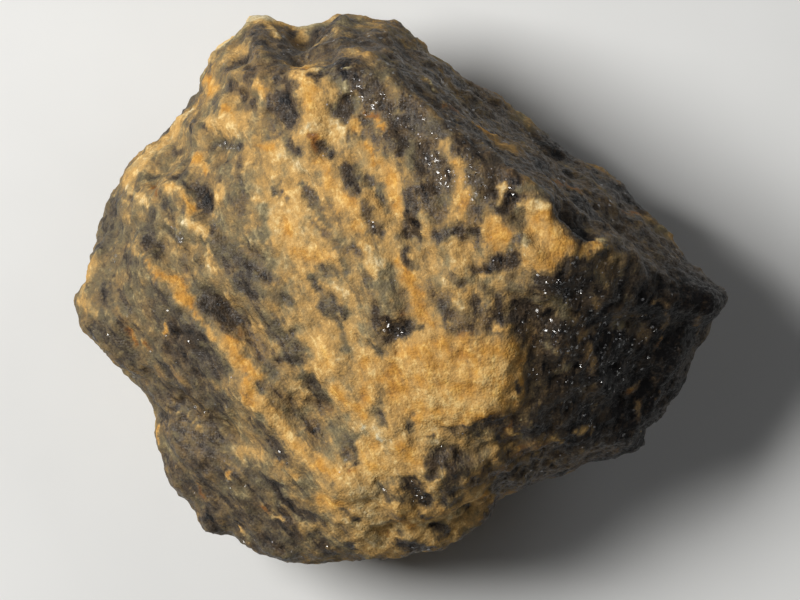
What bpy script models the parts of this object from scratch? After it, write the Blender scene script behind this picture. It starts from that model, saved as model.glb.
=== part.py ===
"""A rough piece of tanteuxenite, as a solid at its real size.

The stone is one broken lump of mineral, 13 mm long. It is surveyed like a small hill: a ring of
points gives its outline from above, two sets of spot heights give the upper and the lower side,
and a triangulated surface joins them. The ledges, grooves, knobs and pits that show from a step
away are then raised or sunk on it, and the underside is broken off flat where the stone rests.

Lengths are in millimetres until the mesh is made. +Z is up, and +Y is the far side of the stone
as it lies, with its dark pointed end at +X.
"""

import math

import bmesh
import bpy
import numpy as np
from mathutils import Matrix, Vector, noise
from mathutils.geometry import delaunay_2d_cdt

MM = 0.001
STONE_LENGTH = 13.16
STONE_WIDTH = 11.12
TRIANGLES = 9000

# The rim, clockwise from above, starting at the far left knob. It is the widest level of the stone.
OUTLINE = (
    (-2.72, 5.48), (-2.48, 5.38), (-2.24, 5.38), (-1.94, 5.26), (-1.56, 5.44), (-1.18, 5.60),
    (-0.96, 5.50), (-0.46, 5.52), (-0.20, 5.50), (0.10, 5.30), (0.34, 5.08), (0.76, 4.78),
    (0.98, 4.68), (1.34, 4.34), (1.76, 4.02), (2.04, 3.88), (2.26, 3.62), (2.46, 3.62),
    (2.70, 3.34), (3.16, 3.04), (3.58, 2.68), (3.90, 2.62), (4.20, 2.38), (4.72, 1.84),
    (5.10, 1.46), (5.52, 1.14), (5.86, 0.66), (6.22, 0.22), (6.56, -0.12), (6.50, -0.34),
    (6.38, -0.64), (5.96, -1.34), (5.70, -1.80), (5.34, -2.38), (5.12, -2.66), (4.96, -3.00),
    (4.80, -3.18), (4.56, -3.28), (4.16, -3.36), (3.92, -3.42), (3.56, -3.58), (2.98, -3.86),
    (2.28, -4.06), (1.98, -4.28), (1.68, -4.58), (1.18, -4.96), (0.88, -5.18), (0.58, -5.32),
    (0.16, -5.46), (-0.20, -5.42), (-0.80, -5.42), (-1.10, -5.46), (-1.56, -5.52), (-2.22, -5.56),
    (-2.70, -5.46), (-2.98, -5.26), (-3.36, -5.06), (-3.60, -4.84), (-3.78, -4.86), (-4.00, -4.66),
    (-4.12, -4.44), (-4.42, -4.22), (-4.70, -3.90), (-4.82, -3.58), (-4.92, -3.08), (-4.96, -2.76),
    (-4.90, -2.44), (-5.10, -2.20), (-5.18, -1.96), (-5.52, -1.70), (-5.94, -1.42), (-6.22, -1.10),
    (-6.46, -0.80), (-6.58, -0.56), (-6.60, -0.32), (-6.52, 0.02), (-6.42, 0.34), (-6.32, 0.78),
    (-6.18, 1.18), (-6.08, 1.54), (-5.90, 1.86), (-5.76, 2.06), (-5.70, 2.26), (-5.52, 2.46),
    (-5.22, 2.72), (-4.82, 3.10), (-4.62, 3.36), (-4.44, 3.66), (-4.24, 4.02), (-4.12, 4.30),
    (-3.96, 4.60), (-3.82, 4.82), (-3.50, 4.92), (-3.30, 5.12), (-3.18, 5.28), (-2.98, 5.42),
)

# How high the rim runs, by its direction from the middle: degrees from +X towards +Y, height.
RIM_HEIGHTS = (
    (0, 3.9), (12, 3.2), (30, 2.5), (60, 2.4), (90, 3.0), (120, 3.1), (150, 2.7), (180, 2.5),
    (205, 2.7), (225, 2.4), (250, 2.9), (270, 3.4), (300, 3.6), (326, 3.3), (345, 3.6),
)

# Just inside the rim the upper side has already risen, and the lower side dropped, this much.
SHOULDER_INSET = 0.22
SHOULDER_RISE = 0.70
SHOULDER_DROP = 0.75

# The crest, from the far left round to the pointed end, and the ledge that lies behind it.
CREST = (
    (-2.76, 4.36, 5.5), (-2.00, 4.40, 5.9), (-1.20, 4.40, 6.2), (-0.10, 4.20, 6.5),
    (0.80, 3.56, 6.8), (1.50, 2.88, 7.1), (2.60, 2.12, 7.2), (3.40, 1.40, 7.1),
    (4.12, 0.90, 6.7), (5.00, 0.40, 5.7), (5.80, 0.08, 4.9),
)
BACK_LEDGE = (
    (-2.90, 4.88, 4.9), (-1.96, 4.84, 4.6), (-1.20, 5.08, 4.8), (-0.30, 5.04, 4.7),
    (0.50, 4.44, 4.9),
)

# The broad upper face, which leans to the left and to the near side.
UPPER_FACE = (
    (-3.90, 3.40, 4.9), (-3.40, 3.96, 5.2), (-3.00, 2.80, 5.6), (-2.00, 3.30, 6.0),
    (-0.90, 2.90, 6.4), (0.24, 2.24, 6.7), (-2.00, 1.40, 6.1), (-0.60, 1.00, 6.5),
    (0.80, 0.84, 6.9), (2.00, 0.70, 7.0), (3.00, 0.20, 6.9), (-3.60, 1.40, 5.4),
    (-4.80, 2.00, 4.6), (-5.20, 0.60, 4.4), (-4.00, 0.00, 5.2), (-2.60, -0.40, 5.8),
    (-1.20, -0.60, 6.2), (0.00, -0.90, 6.5), (1.10, -1.20, 6.6), (2.30, -1.20, 6.6),
    (-5.70, -0.60, 3.9), (-4.40, -1.40, 4.6), (-3.10, -1.90, 5.3), (-1.90, -1.90, 5.6),
    (-0.70, -2.20, 5.9), (0.40, -2.40, 6.1), (1.60, -2.40, 6.2), (2.44, -2.20, 6.1),
)

# The dark face towards the pointed end, the near face, and the low block at the near left.
DARK_FACE = (
    (3.60, -0.40, 6.2), (4.40, -0.60, 5.6), (5.20, -0.80, 4.9), (5.90, -0.70, 4.2),
    (3.40, -1.80, 5.7), (4.40, -1.80, 5.0), (5.10, -1.90, 4.2), (3.20, -2.80, 5.0),
    (4.24, -2.80, 4.3), (2.40, -3.24, 5.1),
)
NEAR_FACE = (
    (1.60, -3.44, 5.6), (0.60, -3.70, 5.6), (-0.30, -3.70, 5.6), (-1.14, -3.70, 5.5),
    (-2.04, -3.16, 5.3), (-2.64, -3.60, 4.6), (-2.00, -4.30, 4.5), (-1.00, -4.70, 4.7),
    (0.10, -4.70, 4.8), (1.10, -4.36, 4.9),
)
LOW_BLOCK = (
    (-4.20, -2.56, 3.8), (-3.36, -2.84, 4.2), (-4.20, -3.44, 3.7), (-3.36, -3.90, 3.9),
    (-2.50, -4.76, 3.7), (-3.56, -4.44, 3.3),
)

# The lower side: the flat break that the stone rests on, and the sides that lean out from it.
REST = (
    (-2.1, 0.7), (-1.2, 1.7), (0.2, 1.4), (1.1, 1.8), (1.9, 0.8), (1.6, -0.4), (2.0, -1.2),
    (0.7, -1.7), (-0.7, -1.4), (-1.6, -1.7), (-2.3, -0.5),
)
REST_MIDDLE = (-0.1, 0.1)
UNDERSIDE = (
    (-4.7, 1.9, 1.5), (-3.2, 2.3, 0.9), (-4.9, -0.7, 1.4), (-3.6, -0.2, 0.8), (-3.7, -3.2, 1.6),
    (-2.5, -2.8, 0.9), (-1.6, -4.3, 1.8), (-0.9, -2.8, 0.7), (0.6, -4.3, 2.1), (1.4, -2.9, 1.2),
    (3.0, -2.8, 2.1), (4.4, -1.6, 2.0), (3.0, -1.2, 0.9), (4.8, 0.2, 2.0), (3.3, 0.6, 1.0),
    (3.4, 1.8, 1.4), (1.8, 3.2, 1.3), (-0.6, 4.4, 1.6), (-0.4, 2.9, 0.8), (-2.8, 3.8, 1.5),
)

# The foliation: ledges and streaks run along the grain, and thin layers lie across it.
GRAIN = Vector((0.62, -0.76, 0.20)).normalized()
LAYERS = GRAIN.cross(Vector((0.0, 0.0, 1.0))).normalized()
STRETCH = 2.4
FOLIATION = Matrix((GRAIN / STRETCH, LAYERS, GRAIN.cross(LAYERS)))

# Raised (+) and sunken (-) forms: from, to, half-width, height. Each follows a line on the stone.
FORMS = {
    "ledge over the low block": ((-5.2, -1.9, 3.6), (-3.6, -3.0, 4.2), 0.22, -0.30),
    "lip of the near left ledge": ((-3.1, -1.9, 5.3), (-1.1, -3.8, 5.1), 0.28, 0.20),
    "hollow behind the lip": ((-1.8, -2.5, 5.3), (-1.2, -3.1, 5.0), 0.48, -0.34),
    "upper left ledge": ((-5.3, 0.9, 4.4), (-3.4, -1.2, 5.1), 0.26, 0.16),
    "groove above that ledge": ((-4.7, 1.1, 4.8), (-2.9, -0.9, 5.6), 0.24, -0.16),
    "long rib of the broad face": ((-2.0, 4.1, 6.0), (-0.1, -0.3, 6.5), 0.30, 0.12),
    "groove beside the rib": ((-1.0, 3.6, 6.3), (0.6, 0.6, 6.8), 0.26, -0.14),
    "second rib": ((0.0, 3.0, 6.7), (0.5, 1.4, 6.8), 0.24, 0.10),
    "recess under the crest": ((3.4, 1.5, 6.9), (3.7, 1.3, 6.7), 0.30, -0.34),
    "ochre boss": ((2.9, 0.9, 7.0), (3.2, 0.3, 6.9), 0.45, 0.16),
    "step to the dark face": ((2.6, -0.4, 6.8), (2.7, -2.2, 6.0), 0.30, -0.18),
    "rib to the pointed end": ((3.9, -0.2, 6.2), (6.0, -0.2, 4.5), 0.28, 0.16),
    "scoop in the dark face": ((4.6, -1.0, 5.2), (4.9, -1.9, 4.6), 0.50, -0.24),
    "chip over the near rim": ((0.0, -4.6, 4.4), (1.4, -4.3, 4.3), 0.30, -0.20),
    "notch in the back ledge": ((-1.95, 5.2, 3.6), (-2.0, 4.6, 5.0), 0.24, -0.22),
    "knob on the back rim": ((-1.2, 5.4, 3.6), (-1.2, 5.2, 4.2), 0.24, 0.14),
    "black knob on the near left rim": ((-3.8, -4.8, 2.8), (-3.9, -4.7, 2.5), 0.22, 0.16),
    "flute down the left side": ((-6.0, 1.2, 3.4), (-5.2, 1.0, 1.6), 0.34, -0.18),
    "rib down the back side": ((1.8, 3.9, 2.6), (1.2, 3.2, 0.9), 0.40, 0.18),
    "rust-brown pit": ((-1.50, 2.86, 6.2), (-1.46, 2.70, 6.2), 0.17, -0.24),
    "pit beside the black knurl": ((-0.15, -0.80, 6.5), (-0.05, -1.10, 6.5), 0.18, -0.20),
    "pit in the far left corner": ((-3.45, 4.1, 5.2), (-3.20, 3.9, 5.3), 0.20, -0.18),
    "scoop below the near rim": ((0.6, -4.7, 2.4), (-0.6, -4.6, 2.2), 0.55, -0.26),
    "step across the lower side": ((-3.4, -2.2, 1.0), (-0.4, -3.4, 1.0), 0.35, -0.22),
    "rib across the lower side": ((2.6, 2.6, 1.2), (4.0, -0.6, 1.4), 0.35, 0.18),
    "scoop below the pointed end": ((5.0, -0.6, 2.2), (4.4, -1.0, 1.6), 0.55, -0.24),
}

# Relief that covers the whole stone: tilted faces where it broke, lumps, and thin ledges.
BREAK_SIZE = 0.95
BREAK_TILT = 0.15
LUMP_SIZE = 0.85
LUMP_HEIGHT = 0.11
KNURL_SIZE = 0.36
KNURL_HEIGHT = 0.03
LEDGE_SPACING = 0.80
LEDGE_HEIGHT = 0.07
LEDGE_STEEP_SHARE = 0.2

# How much of the lower side is broken away, so that the stone rests on a flat face, and how near
# to that face a corner of the mesh belongs to it.
REST_DEPTH = 0.16
REST_BAND = 0.03

# The size of the even faces that are roughened, and how often their edges are eased before that.
ROUGH_VOXEL = 0.17
ROUND_OFF_STEPS = 2


def rim_height(x, y):
    """How high the rim runs at a point of the outline."""
    directions, heights = zip(*RIM_HEIGHTS)
    return float(np.interp(math.degrees(math.atan2(y, x)), directions, heights, period=360))


def shoulder(index):
    """The point just inside the rim at an outline point, along the bisector of its two sides."""
    before, here, after = (
        Vector(OUTLINE[(index + step) % len(OUTLINE)]) for step in (-1, 0, 1)
    )
    along = (after - before).normalized()
    return here + Vector((along.y, -along.x)) * SHOULDER_INSET


def sheet(bm, rim, spots, edges):
    """Joins the rim and the spot heights inside it into one triangulated sheet.

    The edges are kept as edges of the sheet. None of them crosses another, so every corner of the
    sheet is a point of the rim or a spot height.
    """
    survey = [Vector(v.co[:2]) for v in rim] + [Vector(spot[:2]) for spot in spots]
    sides = [(i, (i + 1) % len(rim)) for i in range(len(rim))]
    kept = [(a + len(rim), b + len(rim)) for a, b in edges]
    places, _, faces, sources, _, _ = delaunay_2d_cdt(
        survey, sides + kept, [list(range(len(rim)))], 1, 1e-6
    )
    heights = [v.co.z for v in rim] + [spot[2] for spot in spots]
    verts = []
    for place, (source, *_) in zip(places, sources):
        if source < len(rim):
            verts.append(rim[source])
        else:
            verts.append(bm.verts.new((place.x, place.y, heights[source])))
    return [bm.faces.new([verts[i] for i in face]) for face in faces]


def surveyed_mesh():
    """The stone as a coarse closed surface through its surveyed points."""
    bm = bmesh.new()
    rim = [bm.verts.new((x, y, rim_height(x, y))) for x, y in OUTLINE]
    inside = [shoulder(i) for i in range(len(OUTLINE))]
    levels = [v.co.z for v in rim]

    crest_edges = [(i, i + 1) for i in range(len(CREST) - 1)]
    risen = [(p.x, p.y, z + SHOULDER_RISE) for p, z in zip(inside, levels)]
    upper = [*CREST, *BACK_LEDGE, *UPPER_FACE, *DARK_FACE, *NEAR_FACE, *LOW_BLOCK, *risen]
    sheet(bm, rim, upper, crest_edges)

    rest = [(x, y, 0.0) for x, y in (*REST, REST_MIDDLE)]
    rest_edges = [(i, (i + 1) % len(REST)) for i in range(len(REST))]
    dropped = [(p.x, p.y, z - SHOULDER_DROP) for p, z in zip(inside, levels)]
    for face in sheet(bm, rim, [*rest, *UNDERSIDE, *dropped], rest_edges):
        face.normal_flip()

    bmesh.ops.recalc_face_normals(bm, faces=bm.faces)
    mesh = bpy.data.meshes.new("survey")
    bm.to_mesh(mesh)
    bm.free()
    return mesh


def evaluated(obj):
    """The object's mesh with its modifiers applied."""
    graph = bpy.context.evaluated_depsgraph_get()
    return bpy.data.meshes.new_from_object(obj.evaluated_get(graph))


def near_line(points, start, end):
    """The distance of each point to the line from start to end."""
    start, end = np.array(start), np.array(end)
    run = end - start
    share = np.clip((points - start) @ run / (run @ run), 0.0, 1.0)
    return np.linalg.norm(points - start - share[:, None] * run, axis=1)


def form_height(points):
    """The named ledges, grooves, knobs and scoops."""
    height = np.zeros(len(points))
    for start, end, half_width, rise in FORMS.values():
        share = np.clip(near_line(points, start, end) / (2 * half_width), 0.0, 1.0)
        height += rise * (1 - share**2) ** 2
    return height


def facet_tilt(middle):
    """Which way, and how much, the broken face around this middle is tilted."""
    return 2 * noise.cell_vector(middle * 37.0) - Vector((1.0, 1.0, 1.0))


def break_height(place):
    """Small tilted faces that meet in edges and steps, as where a brittle stone broke."""
    (nearest, second, *_), (middle, other, *_) = noise.voronoi(place / BREAK_SIZE)
    here = facet_tilt(middle).dot(place / BREAK_SIZE - middle)
    there = facet_tilt(other).dot(place / BREAK_SIZE - other)
    share = 0.5 + 0.5 * min((second - nearest) / 0.25, 1.0)
    return BREAK_TILT * (share * here + (1 - share) * there)


def ledge_height(place):
    """Thin ledges: one steep side and one long side, bent a little by noise."""
    bend = 0.8 * noise.noise(place * 0.5) + 0.3 * noise.noise(place * 1.7)
    phase = (place.y / LEDGE_SPACING + bend) % 1.0
    fade = max(0.0, 0.4 + noise.noise(place * 0.6 + Vector((5.0, 0.0, 2.0))))
    rise = min(phase / (1 - LEDGE_STEEP_SHARE), (1 - phase) / LEDGE_STEEP_SHARE)
    return LEDGE_HEIGHT * fade * (2 * rise - 1)


def overall_height(point):
    """The relief that covers the whole stone, at one point. It is drawn out along the grain."""
    place = FOLIATION @ Vector(point)
    lumps = noise.fractal(place / LUMP_SIZE, 0.9, 2.0, 3)
    knurls = noise.fractal(place / KNURL_SIZE, 0.8, 2.0, 2)
    return (
        LUMP_HEIGHT * lumps
        + KNURL_HEIGHT * knurls
        + break_height(place)
        + ledge_height(place)
    )


def vertex_array(mesh, what):
    """A mesh's vertex places ("co") or normals ("normal") as rows."""
    values = np.zeros(len(mesh.vertices) * 3)
    mesh.vertices.foreach_get(what, values)
    return values.reshape(-1, 3)


def roughen(mesh):
    """Raises and sinks the surface along its normals, and keeps the flat break flat."""
    points, normals = vertex_array(mesh, "co"), vertex_array(mesh, "normal")
    height = form_height(points) + np.array([overall_height(p) for p in points])
    points += normals * height[:, None]
    low, high = points.min(axis=0), points.max(axis=0)
    points[:, :2] -= (low[:2] + high[:2]) / 2
    points[:, 0] *= STONE_LENGTH / (high[0] - low[0])
    points[:, 1] *= STONE_WIDTH / (high[1] - low[1])
    points[:, 2] = np.maximum(points[:, 2] - REST_DEPTH, 0.0)
    mesh.vertices.foreach_set("co", points.ravel())
    mesh.update()


def level_rest(mesh):
    """Brings the flat break to exactly z = 0, because thinning the faces moved it a little."""
    for vert in mesh.vertices:
        if vert.co.z < REST_BAND * MM:
            vert.co.z = 0.0


def stone_material():
    """Dark, slightly metallic mineral with earthy yellow patches, as one average finish."""
    material = bpy.data.materials.new("rough_tanteuxenite")
    material.use_nodes = True
    shader = material.node_tree.nodes["Principled BSDF"]
    shader.inputs["Base Color"].default_value = (0.24, 0.17, 0.095, 1.0)
    shader.inputs["Roughness"].default_value = 0.6
    shader.inputs["Metallic"].default_value = 0.0
    return material


def build_stone():
    """The stone, as one object that stands on its flat break with its middle over the origin."""
    stone = bpy.data.objects.new("tanteuxenite_stone", surveyed_mesh())
    bpy.context.scene.collection.objects.link(stone)

    even = stone.modifiers.new("even_faces", "REMESH")
    even.mode = "VOXEL"
    even.voxel_size = ROUGH_VOXEL
    soften = stone.modifiers.new("round_off_the_breaks", "SMOOTH")
    soften.iterations = ROUND_OFF_STEPS
    stone.data = evaluated(stone)
    stone.modifiers.clear()

    roughen(stone.data)
    stone.data.transform(Matrix.Scale(MM, 4))

    thin = stone.modifiers.new("fewer_faces_where_it_is_flat", "DECIMATE")
    thin.ratio = TRIANGLES / sum(len(face.vertices) - 2 for face in stone.data.polygons)
    stone.data = evaluated(stone)
    stone.modifiers.clear()
    level_rest(stone.data)

    stone.data.name = "tanteuxenite_stone"
    stone.data.materials.clear()
    stone.data.materials.append(stone_material())
    stone.data.shade_flat()


def main():
    for obj in list(bpy.data.objects):
        bpy.data.objects.remove(obj)
    build_stone()


main()
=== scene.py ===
"""The looks of a rough piece of tanteuxenite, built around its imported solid.

The stone's solid gives the form. This script gives it a fine broken surface, the ochre, grey and
black areas that the photograph shows, and a mineral material, on a pale floor in soft light.

Lengths are in millimetres until a mesh is made. Places on the stone are written as pixels of the
photograph, 800 by 600, which looks straight down on the stone.
"""

import itertools
from collections import namedtuple

import bmesh
import bpy
import numpy as np
from mathutils import Matrix, Vector
from mathutils.bvhtree import BVHTree


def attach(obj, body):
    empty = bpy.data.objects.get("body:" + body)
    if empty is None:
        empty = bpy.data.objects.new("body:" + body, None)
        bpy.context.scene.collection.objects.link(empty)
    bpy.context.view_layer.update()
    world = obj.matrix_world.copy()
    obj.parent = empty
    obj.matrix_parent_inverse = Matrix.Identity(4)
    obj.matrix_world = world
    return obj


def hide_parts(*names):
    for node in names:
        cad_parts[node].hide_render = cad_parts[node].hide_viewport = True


MM = 0.001
NODE = "tanteuxenite_stone"

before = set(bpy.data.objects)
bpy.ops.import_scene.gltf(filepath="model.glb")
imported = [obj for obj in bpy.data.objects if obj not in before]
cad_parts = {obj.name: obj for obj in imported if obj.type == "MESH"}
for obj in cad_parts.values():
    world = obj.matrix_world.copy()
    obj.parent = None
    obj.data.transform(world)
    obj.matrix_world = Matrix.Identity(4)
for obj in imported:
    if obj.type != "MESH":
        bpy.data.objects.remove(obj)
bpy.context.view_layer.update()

# The photograph's scale, and the pixel that lies over the middle of the stone.
MM_PER_PIXEL = 0.02
MIDDLE_PIXEL = (399.5, 288.0)
PHOTO_SIZE = (800, 600)

# The streaks of the foliation fan out from a point beyond the near edge, given as a pixel. How far
# most of the stone lies from it, and how much longer than wide the streaks are.
STREAK_SOURCE = (520, 760)
STREAK_REACH = 10.0
STREAK_LENGTH = 3.2

# The kinds of area: how light each is, from black mineral (0) to pale earth (1), and its hue, from
# grey (0) over golden (0.5) to orange (1).
TONES = {
    "white": (0.92, 0.02),
    "pale": (0.84, 0.28),
    "yellow": (0.81, 0.34),
    "sand": (0.75, 0.42),
    "gold": (0.79, 0.68),
    "ochre": (0.73, 0.76),
    "orange": (0.70, 0.84),
    "tan": (0.64, 0.38),
    "mottled": (0.51, 0.28),
    "olive": (0.43, 0.20),
    "grey": (0.50, 0.10),
    "low": (0.31, 0.22),
    "brown": (0.38, 0.56),
    "rust": (0.46, 0.92),
    "dark": (0.27, 0.28),
    "black": (0.15, 0.26),
    "slate": (0.31, 0.08),
    "pitch": (0.00, 0.16),
}
GLITTER_TONES = {"few": (0.0,), "some": (0.55,), "many": (1.0,)}

# The areas of the upper side, the broad ones first: tone, half-width, and the pixels it runs by.
BROAD_AREAS = (
    ("mottled", 100, (150, 200), (140, 290), (250, 420), (280, 520)),
    ("olive", 46, (110, 230), (110, 310), (150, 380)),
    ("mottled", 40, (236, 60), (220, 100), (160, 170)),
    ("low", 52, (180, 420), (196, 480), (256, 540)),
    ("tan", 44, (270, 140), (290, 200), (310, 250)),
    ("sand", 20, (286, 166), (296, 210), (316, 250)),
    ("sand", 15, (128, 172), (154, 146), (176, 122)),
    ("tan", 40, (326, 270), (330, 380)),
    ("tan", 40, (370, 170), (400, 250)),
    ("tan", 34, (430, 250), (480, 280)),
    ("dark", 40, (270, 40), (350, 40), (410, 60), (440, 100)),
    ("dark", 34, (370, 100), (420, 130), (470, 170)),
    ("dark", 44, (500, 120), (560, 170), (620, 220), (690, 285)),
    ("dark", 20, (480, 140), (540, 180), (600, 226), (640, 262)),
    ("black", 50, (560, 320), (570, 390)),
    ("pitch", 50, (620, 320), (620, 400), (650, 360), (700, 310)),
    ("pitch", 30, (600, 420), (640, 430)),
    ("ochre", 44, (420, 370), (470, 380)),
    # These two sand areas on the near face are partly its pale earth and partly painted light,
    # lighter where the face slopes away from the key lamp.
    ("sand", 36, (380, 440), (360, 500)),
    ("sand", 34, (440, 470), (480, 462)),
    ("brown", 16, (506, 456), (540, 446)),
    ("sand", 30, (380, 540), (440, 524), (480, 496)),
    ("dark", 22, (500, 480), (540, 468), (600, 450)),
)

# The far left corner and the band behind the main face.
FAR_BAND = (
    ("tan", 12, (228, 56), (246, 46)),
    ("dark", 7, (254, 25), (260, 36)),
    ("yellow", 5, (266, 23), (275, 35)),
    ("dark", 6, (283, 28), (291, 36)),
    ("tan", 4, (299, 34), (303, 40)),
    ("dark", 6, (265, 42), (272, 54), (280, 68)),
    ("dark", 6, (222, 72), (236, 68)),
    ("dark", 8, (229, 84), (242, 94), (252, 106)),
    ("mottled", 12, (262, 112), (264, 130)),
    ("brown", 6, (258, 62), (264, 72)),
    ("ochre", 7, (258, 84), (264, 94)),
    ("tan", 6, (205, 62), (214, 56)),
    ("brown", 4, (187, 92), (197, 86)),
    ("ochre", 7, (204, 78), (214, 92)),
    ("tan", 9, (226, 100), (234, 116)),
    ("orange", 4, (224, 108), (238, 124)),
    ("sand", 9, (210, 116), (232, 128)),
    ("olive", 4, (214, 101), (220, 107)),
    ("yellow", 6, (182, 114), (196, 102)),
    ("dark", 4, (197, 114), (190, 130)),
    ("olive", 4, (200, 126), (208, 128)),
    ("yellow", 3, (221, 114), (227, 118)),
    ("mottled", 7, (316, 44), (350, 34)),
    ("olive", 8, (392, 28), (412, 34)),
    ("tan", 4, (350, 50), (354, 56)),
    ("tan", 4, (404, 42), (416, 50)),
    ("olive", 8, (424, 46), (444, 62)),
    ("black", 5, (384, 62), (398, 70)),
    ("dark", 6, (444, 62), (456, 76)),
    ("white", 2, (346, 68), (356, 72)),
    ("grey", 6, (328, 72), (346, 90)),
    ("white", 2, (343, 84), (348, 94)),
    ("black", 5, (356, 74), (356, 88)),
    ("black", 5, (374, 84), (384, 94)),
    ("grey", 5, (354, 100), (358, 112)),
    ("olive", 8, (380, 78), (396, 98)),
    ("olive", 5, (410, 68), (422, 80)),
    ("white", 1.5, (428, 82), (436, 92)),
    ("olive", 4, (466, 98), (478, 102)),
    ("rust", 4, (446, 107), (456, 112)),
    ("rust", 4, (368, 118), (380, 124)),
    ("yellow", 4, (394, 116), (398, 118)),
    ("orange", 5, (376, 128), (390, 130)),
    ("black", 8, (396, 128), (398, 150)),
    ("slate", 8, (416, 128), (446, 132)),
)
# The ochre tongue, the dark spot beside it, and the field below.
TONGUE_AND_FIELD = (
    ("gold", 9, (304, 68), (306, 86), (314, 102)),
    ("gold", 14, (314, 102), (319, 122)),
    ("sand", 11, (300, 132), (334, 138)),
    ("tan", 7, (326, 82), (336, 98)),
    ("yellow", 3, (300, 72), (318, 72)),
    ("dark", 17, (282, 104), (288, 116)),
    ("black", 10, (280, 104), (290, 120)),
    ("dark", 6, (282, 80), (294, 88)),
    ("dark", 3, (332, 100), (338, 114)),
    ("pale", 2, (306, 128), (318, 130)),
    ("pale", 4, (334, 124), (346, 132)),
    ("ochre", 5, (352, 122), (357, 134)),
    ("rust", 5, (314, 138), (322, 146)),
    ("black", 4, (323, 143), (330, 156)),
    ("dark", 6, (285, 140), (298, 153)),
    ("olive", 3, (268, 136), (278, 146)),
    ("orange", 6, (256, 144), (272, 152)),
    ("tan", 13, (264, 164), (282, 176)),
    ("slate", 7, (214, 146), (238, 146)),
    ("grey", 11, (230, 164), (240, 190)),
    ("dark", 5, (243, 203), (244, 210)),
    ("yellow", 3, (221, 182), (224, 198)),
    ("yellow", 3, (258, 200), (264, 208), (270, 218)),
    ("dark", 4, (275, 190), (286, 202)),
    ("sand", 14, (284, 214), (292, 240)),
    ("orange", 6, (284, 222), (292, 232)),
    ("olive", 3, (302, 182), (310, 190)),
    ("dark", 5, (310, 190), (317, 204)),
    ("olive", 4, (318, 208), (328, 222)),
    ("olive", 4, (334, 236), (344, 254), (346, 272)),
    ("brown", 3, (310, 216), (324, 232), (336, 240)),
    ("ochre", 8, (324, 164), (334, 186), (344, 204)),
    ("dark", 7, (350, 172), (354, 190)),
    ("brown", 4, (344, 190), (356, 196)),
    ("olive", 4, (366, 178), (378, 192), (390, 206)),
    ("dark", 5, (366, 204), (368, 218)),
    ("dark", 7, (368, 222), (380, 234)),
    ("dark", 4, (352, 250), (356, 256)),
    ("dark", 3, (362, 260), (370, 264)),
    ("pale", 3, (358, 245), (370, 250)),
    ("ochre", 6, (352, 204), (358, 228)),
    ("ochre", 7, (384, 164), (394, 190), (402, 212)),
    ("sand", 9, (372, 262), (378, 272)),
    ("orange", 4, (366, 146), (374, 164)),
    ("mottled", 6, (404, 174), (414, 188)),
    ("dark", 6, (404, 234), (416, 236)),
    ("grey", 5, (407, 150), (411, 168)),
    ("black", 8, (411, 196), (415, 226)),
    ("black", 6, (424, 188), (434, 192)),
    ("dark", 9, (424, 154), (438, 176)),
    ("dark", 8, (428, 204), (438, 214)),
    ("tan", 6, (444, 148), (450, 158)),
    ("ochre", 7, (456, 166), (460, 188), (457, 214)),
    ("black", 7, (464, 142), (474, 152)),
    ("dark", 5, (473, 166), (475, 188)),
    ("olive", 7, (472, 196), (484, 212)),
    ("yellow", 4, (500, 186), (500, 204)),
    ("brown", 3, (493, 186), (492, 206)),
    ("orange", 4, (472, 124), (488, 134)),
    ("grey", 5, (516, 190), (534, 190)),
)
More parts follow.
